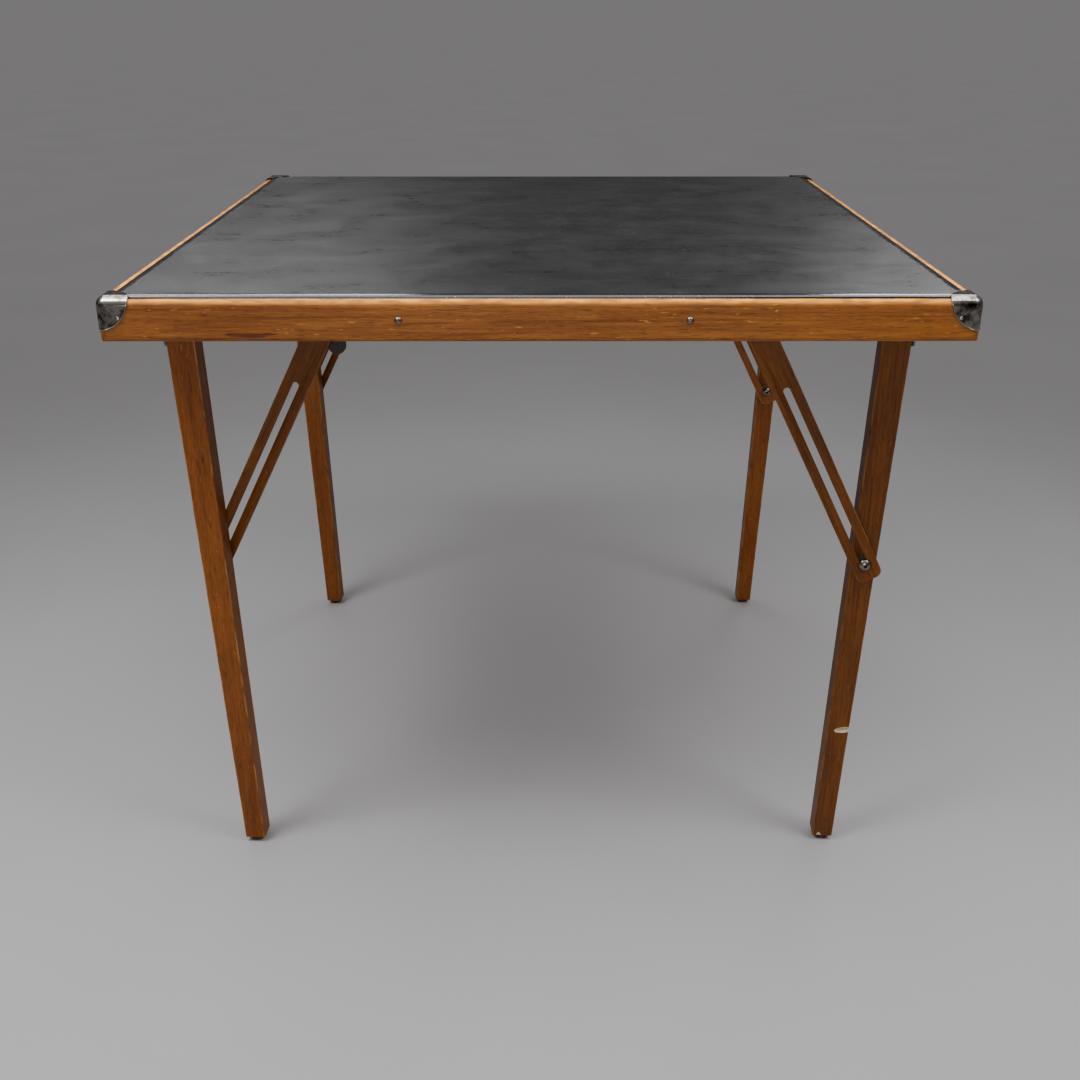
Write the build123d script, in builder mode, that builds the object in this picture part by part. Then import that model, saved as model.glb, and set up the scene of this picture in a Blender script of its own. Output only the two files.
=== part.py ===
from build123d import *
import os
from math import asin, atan2, cos, degrees, hypot, radians, sin, tan

# Folding card table: a square top in a wooden frame, on four tapered legs.
# Each leg folds flat under the top and is propped by a slotted wooden brace.
# The two legs of a pair swing towards each other. Their fold planes lie side by side, a little
# askew to the front of the table, with both braces between the two legs.
# Sizes are in millimetres. The origin is on the floor under the middle of the top, and +Z is up.

# Whole table
table_width = 864.0
table_height = 711.0
overrun = 5.0
hole_clearance = 0.05

# Frame rails
rail_height = 41.0
rail_width = 20.0
rim_width = 9.0
rebate_depth = 4.0
rail_top_radius = 6.0
rail_bottom_radius = 4.5
rim_inner_radius = 0.8

# Board and leathercloth
board_thickness = 6.0
cover_thickness = 1.0
panel_gap = 1.6
panel_corner_radius = 6.0
cover_roll_radius = 3.0
board_roll_radius = 2.0

# Corner caps and their nails
cap_thickness = 0.8
cap_lobe = 32.0
cap_drop = 32.5
nail_inset = 21.5
nail_drop = 20.0
nail_head_radius = 1.7
nail_head_height = 0.6
nail_shank_radius = 0.7
nail_length = 12.0

# Glue blocks in the corners
glue_block_side = 28.0
glue_block_height = 26.0

# Battens, each at its own space from the nearest brace hangers, and the screws that hold them
# to the front and back rails
batten_left_space = 59.0
batten_right_space = 50.0
batten_width = 22.0
batten_height = 31.0
batten_side_clearance = 6.0
batten_top_clearance = 1.2
rail_screw_head_radius = 3.8
rail_screw_head_height = 2.4
rail_screw_shank_radius = 2.0
rail_screw_grip = 22.0

# Legs
pair_inset = 101.0
pivot_inset = 53.0
leg_depth = 26.0
leg_top_radius = 15.6
leg_foot_width = 24.0
leg_lean = 1.85
leg_edge_radius = 1.5
leg_fold_clearance = 6.4
leg_bolt_radius = 3.0
leg_bolt_clearance = 0.06

# Glides
glide_radius = 10.0
glide_height = 7.0
glide_edge_radius = 2.0
glide_pin_radius = 1.4
glide_pin_length = 14.0

# Braces: the anchor is where a brace turns on its hanger, the pin is where it meets the leg
anchor_spacing = 160.0
pin_distance = 295.0
brace_width = 29.4
brace_thickness = 7.0
brace_end_margin = 19.5
brace_corner_radius = 9.0
brace_edge_radius = 1.0
slot_width = 7.8
slot_spare = 32.0
recess_radius = 8.0
recess_depth = 1.0
brace_bolt_radius = 3.0
brace_bolt_clearance = 0.06
brace_bolt_head_radius = 5.6

# Slot screws and washers
slot_screw_play = 0.25
slot_screw_head_radius = 6.75
slot_screw_head_height = 3.2
slot_screw_hover = 0.3
slot_screw_pass = 0.7
slot_screw_socket_radius = 2.1
slot_screw_socket_depth = 1.8
washer_radius = 9.0
washer_thickness = 0.6
washer_gap = 1.2
pilot_radius = 2.2
pilot_depth = 18.0

# Hinge brackets and the wedge blocks behind them
bracket_thickness = 2.0
bracket_ear_radius = 9.0
bracket_ear_gap = 0.3
bracket_stand_off = 17.0
bracket_wing = 12.0
bracket_top_gap = 4.0
bracket_bottom_gap = 3.0
tongue_width = 14.0
tongue_drop = 68.0
wedge_side_margin = 4.0
bracket_screw_head_radius = 3.4
bracket_screw_head_height = 1.6
bracket_screw_shank_radius = 1.7
bracket_screw_grip = 11.0
bracket_screw_inset = 6.0
bracket_screw_edge = 7.0

# Brace hangers: the two on the left reach further down than the two on the right
hanger_width = 20.0
hanger_thickness = 2.5
hanger_gap = 0.3
hanger_drop_left = 87.0
hanger_drop_right = 42.0
hanger_flange = 19.0
hanger_screw_inset = 5.0
hanger_screw_head_radius = 3.2
hanger_screw_head_height = 1.5
hanger_screw_shank_radius = 1.6
hanger_screw_grip = 4.5

# Pivot bolts
bolt_head_radius = 7.0
bolt_head_height = 3.0
nut_across_flats = 10.0
nut_height = 3.6
bolt_tail = 0.6

# Heights
board_underside = table_height - cover_thickness - board_thickness
rim_top = board_underside + rebate_depth
rail_bottom = rim_top - rail_height
panel_proud = table_height - rim_top
rail_corner_radius = rail_top_radius + panel_proud
pivot_z = board_underside - leg_fold_clearance - leg_top_radius
half_width = table_width / 2
inner_half = half_width - rail_width
panel_half = half_width - rim_width - panel_gap

# Layers across one pair of legs, measured from the middle of the pair towards a leg.
# From the middle outwards: screw heads, brace, washer, leg.
head_room = slot_screw_hover + slot_screw_head_height + slot_screw_pass
brace_low = head_room / 2
brace_high = brace_low + brace_thickness
leg_low = brace_high + washer_gap
leg_high = leg_low + leg_depth
leg_middle = (leg_low + leg_high) / 2

# The fold planes are turned just enough for all four pivots of two facing pairs to line up
pair_y = half_width - pair_inset
pivot_x = half_width - pivot_inset
skew = asin(leg_middle / pivot_x)
pivot_u = -pivot_x * cos(skew)

# Leg side view: the two long sides are tangent to the rounded top
lean = radians(leg_lean)
leg_length = pivot_z / cos(lean)
leg_foot_half = leg_foot_width / 2
leg_taper = asin(leg_top_radius / hypot(leg_length, leg_foot_half)) - atan2(leg_foot_half, leg_length)


def leg_point(along, across):
    """Point beside the leg's axis: along runs down from the pivot, across runs inwards."""
    u = pivot_u + along * sin(lean) + across * cos(lean)
    v = pivot_z - along * cos(lean) + across * sin(lean)
    return (u, v)


# Brace geometry with the leg open
anchor_u = pivot_u + anchor_spacing
pin_u, pin_v = leg_point(pin_distance, 0)
open_reach = hypot(pin_u - anchor_u, pin_v - pivot_z)
open_angle = atan2(pin_v - pivot_z, pin_u - anchor_u)
folded_reach = pin_distance - anchor_spacing
slot_start = folded_reach - slot_spare
brace_length = brace_width / 2 + open_reach + brace_end_margin


# Hinge brackets: the plate, the two ears and the tip of the tongue
plate_u = pivot_u - bracket_stand_off
ear_high = leg_high + bracket_ear_gap
ear_low = leg_low - bracket_ear_gap - bracket_thickness
bracket_low = ear_low - bracket_wing
bracket_high = ear_high + bracket_thickness + bracket_wing
bracket_top = board_underside - bracket_top_gap
bracket_bottom = rail_bottom + bracket_bottom_gap
bracket_grip = ear_high + bracket_thickness - ear_low
tongue_tip = table_height - tongue_drop

# Brace hangers: their face beside the brace, the end of the flange, and their place along the table
hanger_face = brace_low - hanger_gap
flange_end = hanger_face - hanger_thickness - hanger_flange
hanger_inner_x = -anchor_u * cos(skew) - hanger_width / 2
batten_xs = {
    "left": batten_left_space + batten_width / 2 - hanger_inner_x,
    "right": hanger_inner_x - batten_right_space - batten_width / 2,
}


def brace_point(reach):
    """Point on the brace's centre line at a distance from its anchor."""
    return (anchor_u + reach * cos(open_angle), pivot_z + reach * sin(open_angle))


def fold_plane(y, side):
    """Upright plane of one leg: x runs inwards along its fold, y runs up, z points out past the leg."""
    inwards = (side * cos(skew), -side * sin(skew), 0)
    outwards = (-side * sin(skew), -side * cos(skew), 0)
    return Plane(origin=(0, y, 0), x_dir=inwards, z_dir=outwards)


def spot(plane, x, y, z=0):
    """Plane parallel to another one, with its origin at a point given in that plane's own coordinates."""
    return Plane(origin=plane.from_local_coords((x, y, z)), x_dir=plane.x_dir, z_dir=plane.z_dir)


def quarter_turn(plane, quarter):
    """Plane carried round the table by a number of quarter turns."""
    return Plane(Rotation(0, 0, 90 * quarter) * plane.location)


stations = {
    "front_left": fold_plane(-pair_y, 1),
    "front_right": fold_plane(-pair_y, -1),
    "back_left": fold_plane(pair_y, 1),
    "back_right": fold_plane(pair_y, -1),
}
corners = {"front_left": 0, "front_right": 1, "back_right": 2, "back_left": 3}
sides = {"front": 0, "right": 1, "back": 2, "left": 3}
front_face = Plane(origin=(0, -half_width, 0), x_dir=(1, 0, 0), z_dir=(0, -1, 0))
rail_screw_z = board_underside - batten_height / 2
nail_x = half_width - nail_inset
nail_z = table_height - nail_drop


def headed_screw(head_radius, head_height, shank_radius, shank_length):
    """Round-head screw at the origin: the domed head stands on the XY plane, the shank hangs below it."""
    with BuildPart() as screw:
        with BuildSketch(Plane.XZ):
            with BuildLine():
                dome = TangentArc((0, head_height), (head_radius, 0), tangent=(1, 0))
                Polyline(dome @ 1, (0, 0), dome @ 0)
            make_face()
        revolve(axis=Axis.Z)
        Cylinder(shank_radius, shank_length, align=(Align.CENTER, Align.CENTER, Align.MAX))
    return screw.part


def group_of(piece, planes):
    """Copies of one fastener, each standing on its own plane."""
    with BuildPart() as group:
        with Locations(*[plane.location for plane in planes]):
            add(piece)
    return group.part


def bolt_and_nut(head_radius, head_height, bolt_radius, grip):
    """Bolt through a stack of parts from the XY plane down, with a hexagon nut on its far end."""
    length = grip + nut_height + bolt_tail
    with BuildPart() as bolt:
        add(headed_screw(head_radius, head_height, bolt_radius, length))
        with BuildSketch(Plane.XY.offset(-grip)):
            RegularPolygon(nut_across_flats / 2, 6, major_radius=False)
        extrude(amount=-nut_height)
    return bolt.part


def flush_bolt_and_nut(head_radius, bolt_radius, grip):
    """Countersunk bolt, flush with the XY plane, with a hexagon nut on its far end."""
    length = grip + nut_height + bolt_tail
    with BuildPart() as bolt:
        Cylinder(bolt_radius, length, align=(Align.CENTER, Align.CENTER, Align.MAX))
        with BuildSketch(Plane.XY):
            Circle(head_radius)
        with BuildSketch(Plane.XY.offset(bolt_radius - head_radius)):
            Circle(bolt_radius)
        loft()
        with BuildSketch(Plane.XY.offset(-grip)):
            RegularPolygon(nut_across_flats / 2, 6, major_radius=False)
        extrude(amount=-nut_height)
    return bolt.part


# Board and leathercloth
def make_board():
    with BuildPart() as board:
        with BuildSketch(Plane.XY.offset(board_underside)):
            width = (panel_half - cover_thickness) * 2
            RectangleRounded(width, width, panel_corner_radius - cover_thickness)
        extrude(amount=board_thickness)
        fillet(board.faces().sort_by(Axis.Z)[-1].edges(), radius=board_roll_radius)
    return board.part


def make_cover(board):
    with BuildPart() as cover:
        with BuildSketch(Plane.XY.offset(board_underside)):
            RectangleRounded(panel_half * 2, panel_half * 2, panel_corner_radius)
        extrude(amount=board_thickness + cover_thickness)
        fillet(cover.faces().sort_by(Axis.Z)[-1].edges(), radius=cover_roll_radius)
        add(board, mode=Mode.SUBTRACT)
    return cover.part


def make_frame_form():
    """Solid with the outside of the whole frame, rounded the same way as the inside of the caps."""
    with BuildPart() as form:
        with BuildSketch(Plane.XY.offset(rail_bottom)):
            RectangleRounded(table_width, table_width, rail_corner_radius)
        extrude(amount=table_height - rail_bottom)
        fillet(form.faces().sort_by(Axis.Z)[-1].edges(), radius=rail_corner_radius)
    return form.part


# Rails: a rebated section along one side, cut to its mitres and to the rounded corners of the frame
def make_rail(quarter, frame):
    start = Plane(origin=(-half_width, -half_width, rail_bottom), x_dir=(0, 1, 0), z_dir=(1, 0, 0))
    ledge = rail_height - rebate_depth
    with BuildPart() as rail:
        with BuildSketch(quarter_turn(start, quarter)) as section:
            with BuildLine():
                Polyline(
                    (0, 0),
                    (rail_width, 0),
                    (rail_width, ledge),
                    (rim_width, ledge),
                    (rim_width, rail_height),
                    (0, rail_height),
                    close=True,
                )
            make_face()
            fillet(section.vertices().group_by(Axis.Y)[-1].sort_by(Axis.X)[0], radius=rail_top_radius)
            fillet(section.vertices().group_by(Axis.Y)[-1].sort_by(Axis.X)[-1], radius=rim_inner_radius)
            fillet(section.vertices().group_by(Axis.Y)[0], radius=rail_bottom_radius)
        extrude(amount=table_width)
        with BuildSketch(Plane.XY.offset(rail_bottom)):
            with BuildLine():
                Polyline(
                    (0, 0),
                    tuple(quarter_turn(start, quarter).origin)[:2],
                    tuple(quarter_turn(start, quarter + 1).origin)[:2],
                    close=True,
                )
            make_face()
        extrude(amount=rail_height, mode=Mode.INTERSECT)
        add(frame, mode=Mode.INTERSECT)
        with Locations(*[p.location for p in nail_planes(quarter)]):
            Hole(nail_shank_radius + hole_clearance, nail_length)
        if quarter % 2 == 0:
            with Locations(*[p.location for p in rail_screw_planes(quarter)]):
                Hole(rail_screw_shank_radius + hole_clearance, rail_width + overrun)
    return rail.part


def nail_planes(quarter):
    """Places of the two cap nails on one side face, on the outside of the caps."""
    face = quarter_turn(front_face, quarter)
    return [spot(face, x, nail_z, cap_thickness) for x in (-nail_x, nail_x)]


def rail_screw_planes(quarter):
    """Places of the two batten screws on the front or the back face."""
    facing = 1 - quarter
    face = quarter_turn(front_face, quarter)
    return [spot(face, x * facing, rail_screw_z) for x in batten_xs.values()]


# Corner caps: a thin rounded shell, cut to a lobe on each of its three faces
def corner_form(skin, reach):
    """Solid with the outside of the table's front left corner, grown outwards by a skin."""
    outside = half_width + skin
    with BuildPart() as form:
        with BuildSketch(Plane(origin=(-outside, -outside, table_height + skin))):
            Rectangle(reach, reach, align=(Align.MIN, Align.MIN))
        extrude(amount=-reach)
        tip = Vector(-outside, -outside, table_height + skin)
        fillet(form.edges().sort_by_distance(tip)[:3], radius=rail_corner_radius + skin)
    return form.part


def make_cap():
    lobe_plane = Plane(origin=(-half_width, -half_width, table_height), x_dir=(1, 0, 0), z_dir=(0, -1, 0))
    with BuildPart() as cap:
        add(corner_form(cap_thickness, cap_drop + overrun))
        add(corner_form(0, cap_drop + overrun * 2), mode=Mode.SUBTRACT)
        with BuildSketch(lobe_plane):
            with BuildLine():
                edge = EllipticalCenterArc((0, 0), cap_lobe, cap_drop, start_angle=-90, arc_size=180)
                Line(edge @ 0, edge @ 1)
            make_face()
        revolve(axis=Axis((-half_width, -half_width, 0), (0, 0, 1)), mode=Mode.INTERSECT)
        nails = [nail_planes(0)[0], nail_planes(3)[1]]
        with Locations(*[p.location for p in nails]):
            Hole(nail_shank_radius + hole_clearance, cap_thickness + overrun)
    return cap.part


# Stiffening under the top
def make_batten(x):
    half_notch = leg_high + abs(x) * tan(skew) + batten_side_clearance
    bridge = board_underside - (leg_fold_clearance - batten_top_clearance)
    foot = board_underside - batten_height
    with BuildPart() as batten:
        with BuildSketch(Plane(origin=(x, 0, 0), x_dir=(0, 1, 0), z_dir=(1, 0, 0))):
            with BuildLine():
                near = -pair_y - half_notch
                far = -pair_y + half_notch
                Polyline(
                    (0, board_underside),
                    (-inner_half, board_underside),
                    (-inner_half, foot),
                    (near, foot),
                    (near, bridge),
                    (far, bridge),
                    (far, foot),
                    (0, foot),
                    close=True,
                )
            make_face()
            mirror(about=Plane.YZ)
        extrude(amount=batten_width / 2, both=True)
        for face in (sides["front"], sides["back"]):
            with Locations(*[p.location for p in rail_screw_planes(face)]):
                Hole(rail_screw_shank_radius + hole_clearance, rail_width + rail_screw_grip)
    return batten.part


def make_glue_blocks():
    with BuildPart() as blocks:
        for quarter in range(4):
            with BuildSketch(Plane.XY.rotated((0, 0, 90 * quarter)).offset(board_underside)):
                with BuildLine():
                    Polyline(
                        (-inner_half, -inner_half),
                        (-inner_half + glue_block_side, -inner_half),
                        (-inner_half, -inner_half + glue_block_side),
                        close=True,
                    )
                make_face()
            extrude(amount=-glue_block_height)
    return blocks.part


# Legs
def make_leg(station):
    start_along = leg_top_radius * sin(leg_taper)
    start_across = leg_top_radius * cos(leg_taper)
    with BuildPart() as leg:
        with BuildSketch(station.offset(leg_middle)):
            with BuildLine():
                inner = Line(leg_point(start_along, start_across), leg_point(leg_length, leg_foot_half))
                outer = Line(leg_point(start_along, -start_across), leg_point(leg_length, -leg_foot_half))
                Line(inner @ 1, outer @ 1)
                ThreePointArc(inner @ 0, leg_point(-leg_top_radius, 0), outer @ 0)
            make_face()
        extrude(amount=leg_depth / 2, both=True)
        split(bisect_by=Plane.XY.offset(glide_height), keep=Keep.TOP)
        long_edges = leg.edges().filter_by(GeomType.LINE).sort_by(SortBy.LENGTH)[-4:]
        fillet(long_edges + leg.edges().filter_by(GeomType.CIRCLE), radius=leg_edge_radius)
        with Locations(spot(station, pivot_u, pivot_z, leg_high).location):
            Hole(leg_bolt_radius + leg_bolt_clearance, leg_depth)
        with Locations((Plane(station.location) * Location((pin_u, pin_v, leg_low), (180, 0, 0)))):
            Hole(pilot_radius, pilot_depth)
        with Locations(foot_plane(station).location):
            Hole(glide_pin_radius + hole_clearance, glide_pin_length + overrun)
    return leg.part


def foot_plane(station):
    """Plane under the middle of a leg's foot, at the height of the glide's top, facing down."""
    along = (pivot_z - glide_height) / cos(lean)
    centre = station.from_local_coords((*leg_point(along, 0), leg_middle))
    return Plane(origin=centre, x_dir=(1, 0, 0), z_dir=(0, 0, -1))


def make_glide(station):
    with BuildPart() as glide:
        with BuildSketch(foot_plane(station)):
            Circle(glide_radius)
        extrude(amount=glide_height)
        fillet(glide.edges().filter_by(GeomType.CIRCLE).sort_by(Axis.Z)[0], radius=glide_edge_radius)
        with BuildSketch(foot_plane(station)):
            Circle(glide_pin_radius)
        extrude(amount=-glide_pin_length)
    return glide.part


# Braces
def make_brace(station):
    middle = brace_point((brace_length - brace_width) / 2)
    slot_middle = brace_point((slot_start + open_reach) / 2)
    turn = degrees(open_angle)
    with BuildPart() as brace:
        with BuildSketch(station.offset(brace_low)):
            with Locations(middle):
                RectangleRounded(brace_length, brace_width, brace_corner_radius, rotation=turn)
        extrude(amount=brace_thickness)
        across = Axis(station.origin, station.z_dir)
        rims = brace.faces().sort_by(across)[0].edges() + brace.faces().sort_by(across)[-1].edges()
        fillet(rims, radius=brace_edge_radius)
        with BuildSketch(station.offset(brace_low)):
            with Locations(slot_middle):
                SlotCenterToCenter(open_reach - slot_start, slot_width, rotation=turn)
        extrude(amount=brace_thickness, mode=Mode.SUBTRACT)
        with BuildSketch(station.offset(brace_low)):
            with Locations((pin_u, pin_v)):
                Circle(recess_radius)
        extrude(amount=recess_depth, mode=Mode.SUBTRACT)
        with Locations(spot(station, anchor_u, pivot_z, brace_high).location):
            CounterSinkHole(
                brace_bolt_radius + brace_bolt_clearance,
                brace_bolt_head_radius + brace_bolt_clearance,
                brace_thickness + overrun,
                90,
            )
    return brace.part


def make_slot_screw(station):
    """Screw whose domed head lies over the brace and whose shank fills the slot.

    The shank ends as far short of the leg as the head stands off the brace.
    """
    seat = spot(station, pin_u, pin_v, brace_low - slot_screw_hover)
    outwards = Plane(origin=seat.origin, x_dir=seat.x_dir, z_dir=-seat.z_dir)
    with BuildPart() as screw:
        with Locations(outwards.location):
            add(
                headed_screw(
                    slot_screw_head_radius,
                    slot_screw_head_height,
                    slot_width / 2 - slot_screw_play,
                    brace_thickness + washer_gap,
                )
            )
        with BuildSketch(outwards.offset(slot_screw_head_height)):
            Circle(slot_screw_socket_radius)
        extrude(amount=-slot_screw_socket_depth, mode=Mode.SUBTRACT)
    return screw.part


def make_washer(station):
    """Washer between brace and leg, free of both faces."""
    with BuildPart() as washer:
        with BuildSketch(station.offset(brace_high + (washer_gap - washer_thickness) / 2)):
            with Locations((pin_u, pin_v)):
                Circle(washer_radius)
                Circle(slot_width / 2 - slot_screw_play, mode=Mode.SUBTRACT)
        extrude(amount=washer_thickness)
    return washer.part


# Hinge brackets, their wedge blocks and bolts


def plate_plane(station):
    """Face of a bracket's plate that looks inwards: x runs across the fold, y runs up."""
    return Plane(
        origin=station.from_local_coords((plate_u, 0, 0)),
        x_dir=-station.z_dir,
        z_dir=station.x_dir,
    )


def bracket_screw_planes(station):
    """Places of the four screws on the two wings of a bracket."""
    face = plate_plane(station)
    across = (-bracket_low - bracket_screw_inset, -bracket_high + bracket_screw_inset)
    heights = (bracket_top - bracket_screw_edge, bracket_bottom + bracket_screw_edge)
    return [spot(face, x, z) for x in across for z in heights]


def make_bracket(station):
    plate_width = bracket_high - bracket_low
    with BuildPart() as bracket:
        with BuildSketch(plate_plane(station)):
            with Locations((-(bracket_low + bracket_high) / 2, (bracket_top + bracket_bottom) / 2)):
                Rectangle(plate_width, bracket_top - bracket_bottom)
            with Locations((-leg_middle, (bracket_bottom + tongue_tip) / 2)):
                SlotCenterToCenter(bracket_bottom - tongue_tip, tongue_width, rotation=90)
        extrude(amount=-bracket_thickness)
        for level in (ear_low, ear_high):
            with BuildSketch(station.offset(level)):
                with Locations((pivot_u, pivot_z)):
                    Circle(bracket_ear_radius)
                with Locations(((pivot_u + plate_u) / 2, pivot_z)):
                    Rectangle(bracket_stand_off, bracket_ear_radius * 2)
            extrude(amount=bracket_thickness)
        with Locations(spot(station, pivot_u, pivot_z, bracket_high).location):
            Hole(leg_bolt_radius + hole_clearance, bracket_high - bracket_low)
        with Locations(*[p.location for p in bracket_screw_planes(station)]):
            Hole(bracket_screw_shank_radius + hole_clearance, bracket_thickness + overrun)
    return bracket.part


def make_hinge_block(station, side):
    """Wedge between the side rail and a bracket, cut square to the fold plane."""
    block_low = bracket_low - wedge_side_margin
    block_high = bracket_high + wedge_side_margin
    face_u = plate_u - bracket_thickness
    near = station.from_local_coords((face_u, 0, block_high))
    far = station.from_local_coords((face_u, 0, block_low))
    rail_x = -side * inner_half
    with BuildPart() as block:
        with BuildSketch(Plane.XY.offset(board_underside)):
            with BuildLine():
                Polyline((near.X, near.Y), (far.X, far.Y), (rail_x, far.Y), (rail_x, near.Y), close=True)
            make_face()
        extrude(amount=rail_bottom - board_underside)
        with Locations(*[p.location for p in bracket_screw_planes(station)]):
            Hole(bracket_screw_shank_radius + hole_clearance, bracket_screw_grip + bracket_thickness)
    return block.part


# Brace hangers


def flange_plane(station):
    """Level plane under the board at a brace's anchor, with y running across the fold."""
    origin = station.from_local_coords((anchor_u, board_underside, 0))
    return Plane(origin=origin, x_dir=station.x_dir, z_dir=(0, 0, 1))


def hanger_screw_planes(station):
    """Places of the two screws under a hanger's flange, facing down."""
    w = (hanger_face - hanger_thickness + flange_end) / 2
    offsets = (-hanger_screw_inset, hanger_screw_inset)
    under = board_underside - hanger_thickness
    spots = [station.from_local_coords((anchor_u + u, under, w)) for u in offsets]
    return [Plane(origin=p, x_dir=station.x_dir, z_dir=(0, 0, -1)) for p in spots]


def make_hanger(station, drop):
    tip_centre = table_height - drop + hanger_width / 2
    with BuildPart() as hanger:
        with BuildSketch(station.offset(hanger_face)):
            with Locations((anchor_u, tip_centre)):
                Circle(hanger_width / 2)
            with Locations((anchor_u, (board_underside + tip_centre) / 2)):
                Rectangle(hanger_width, board_underside - tip_centre)
        extrude(amount=-hanger_thickness)
        with BuildSketch(flange_plane(station)):
            with Locations((0, -(hanger_face + flange_end) / 2)):
                Rectangle(hanger_width, hanger_face - flange_end)
        extrude(amount=-hanger_thickness)
        with Locations(spot(station, anchor_u, pivot_z, hanger_face).location):
            Hole(brace_bolt_radius + hole_clearance, hanger_thickness)
        with Locations(*[p.location for p in hanger_screw_planes(station)]):
            Hole(hanger_screw_shank_radius + hole_clearance, hanger_thickness)
    return hanger.part


def export(part, name):
    """Write one finished piece under its own name."""
    part.label = name
    export_step(part, f"parts/{name}.step")


# Write every piece
os.makedirs("parts", exist_ok=True)
board = make_board()
hanger_screws_at = [p for station in stations.values() for p in hanger_screw_planes(station)]
hanger_screw = headed_screw(
    hanger_screw_head_radius,
    hanger_screw_head_height,
    hanger_screw_shank_radius,
    hanger_thickness + hanger_screw_grip,
)
export(make_cover(board), "top_cover")
with BuildPart() as drilled_board:
    add(board)
    with Locations(*[p.location for p in hanger_screws_at]):
        Hole(hanger_screw_shank_radius + hole_clearance, hanger_thickness + hanger_screw_grip)
export(drilled_board.part, "top_board")
export(group_of(hanger_screw, hanger_screws_at), "hanger_screws")

frame = make_frame_form()
for name, quarter in sides.items():
    export(make_rail(quarter, frame), f"rail_{name}")
cap_shape = make_cap()
for name, quarter in corners.items():
    with BuildPart() as corner_cap:
        with Locations(Rotation(0, 0, 90 * quarter)):
            add(cap_shape)
    export(corner_cap.part, f"corner_cap_{name}")
nail = headed_screw(nail_head_radius, nail_head_height, nail_shank_radius, nail_length)
export(group_of(nail, [p for quarter in range(4) for p in nail_planes(quarter)]), "cap_nails")

for name, x in batten_xs.items():
    export(make_batten(x), f"batten_{name}")
export(make_glue_blocks(), "corner_blocks")
rail_screw = headed_screw(
    rail_screw_head_radius,
    rail_screw_head_height,
    rail_screw_shank_radius,
    rail_width + rail_screw_grip,
)
export(group_of(rail_screw, rail_screw_planes(0) + rail_screw_planes(2)), "rail_screws")

for name, station in stations.items():
    side, hanger_drop = (1, hanger_drop_left) if name.endswith("left") else (-1, hanger_drop_right)
    export(make_leg(station), f"leg_{name}")
    export(make_glide(station), f"glide_{name}")
    export(make_brace(station), f"brace_{name}")
    export(make_slot_screw(station), f"slot_screw_{name}")
    export(make_washer(station), f"slot_washer_{name}")
    export(make_bracket(station), f"leg_bracket_{name}")
    export(make_hinge_block(station, side), f"hinge_block_{name}")
    export(make_hanger(station, hanger_drop), f"brace_hanger_{name}")

bracket_screw = headed_screw(
    bracket_screw_head_radius,
    bracket_screw_head_height,
    bracket_screw_shank_radius,
    bracket_thickness + bracket_screw_grip,
)
bracket_screws_at = [p for station in stations.values() for p in bracket_screw_planes(station)]
export(group_of(bracket_screw, bracket_screws_at), "bracket_screws")
leg_bolt = bolt_and_nut(bolt_head_radius, bolt_head_height, leg_bolt_radius, bracket_grip)
leg_bolts_at = [spot(s, pivot_u, pivot_z, ear_high + bracket_thickness) for s in stations.values()]
export(group_of(leg_bolt, leg_bolts_at), "leg_pivot_bolts")
brace_grip = brace_high - hanger_face + hanger_thickness
brace_bolt = flush_bolt_and_nut(brace_bolt_head_radius, brace_bolt_radius, brace_grip)
brace_bolts_at = [spot(s, anchor_u, pivot_z, brace_high) for s in stations.values()]
export(group_of(brace_bolt, brace_bolts_at), "brace_pivot_bolts")
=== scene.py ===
import math

import bmesh
import bpy
import numpy as np
from mathutils import Matrix, Vector, noise


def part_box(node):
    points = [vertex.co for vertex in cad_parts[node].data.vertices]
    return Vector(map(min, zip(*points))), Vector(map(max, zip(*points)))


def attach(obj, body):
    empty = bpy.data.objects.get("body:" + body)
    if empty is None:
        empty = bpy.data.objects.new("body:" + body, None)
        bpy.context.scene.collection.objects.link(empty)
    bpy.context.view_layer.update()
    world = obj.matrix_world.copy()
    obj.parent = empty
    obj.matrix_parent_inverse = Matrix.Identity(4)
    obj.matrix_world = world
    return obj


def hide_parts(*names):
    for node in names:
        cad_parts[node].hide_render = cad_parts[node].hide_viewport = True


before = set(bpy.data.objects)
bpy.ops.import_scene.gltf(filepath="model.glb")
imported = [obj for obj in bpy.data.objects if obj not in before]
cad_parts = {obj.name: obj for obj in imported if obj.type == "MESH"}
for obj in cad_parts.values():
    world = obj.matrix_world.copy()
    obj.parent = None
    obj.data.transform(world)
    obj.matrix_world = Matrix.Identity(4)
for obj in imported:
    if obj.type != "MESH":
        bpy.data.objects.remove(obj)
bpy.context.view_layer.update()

# Folding card table: leathercloth top in an oak frame, nickel corner caps, four folding legs with
# slotted braces. Metres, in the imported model's frame: x to the right, y to the back, z up.
MM = 0.001
QUARTER = math.pi / 2
CORNERS = ("front_left", "front_right", "back_left", "back_right")

cover_low, cover_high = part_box("top_cover")
rail_low, rail_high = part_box("rail_front")
table_top = cover_high.z
half_table = -rail_low.y


def middle_of(node):
    """Middle of a CAD piece's box."""
    low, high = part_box(node)
    return (low + high) / 2


# The fold planes of the legs lie a little askew to the front of the table; ACROSS is square to them
pin_left, pin_right = middle_of("slot_washer_front_left"), middle_of("slot_washer_front_right")
askew = math.atan2(pin_left.y - pin_right.y, pin_right.x - pin_left.x)
ACROSS = Vector((math.sin(askew), math.cos(askew), 0))


# ---------------------------------------------------------------- materials
def linear(code):
    """Linear colour with alpha from an sRGB hex code."""
    parts = [int(code[i:i + 2], 16) / 255 for i in (1, 3, 5)]
    return (*[c / 12.92 if c <= 0.04045 else ((c + 0.055) / 1.055) ** 2.4 for c in parts], 1.0)


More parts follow.
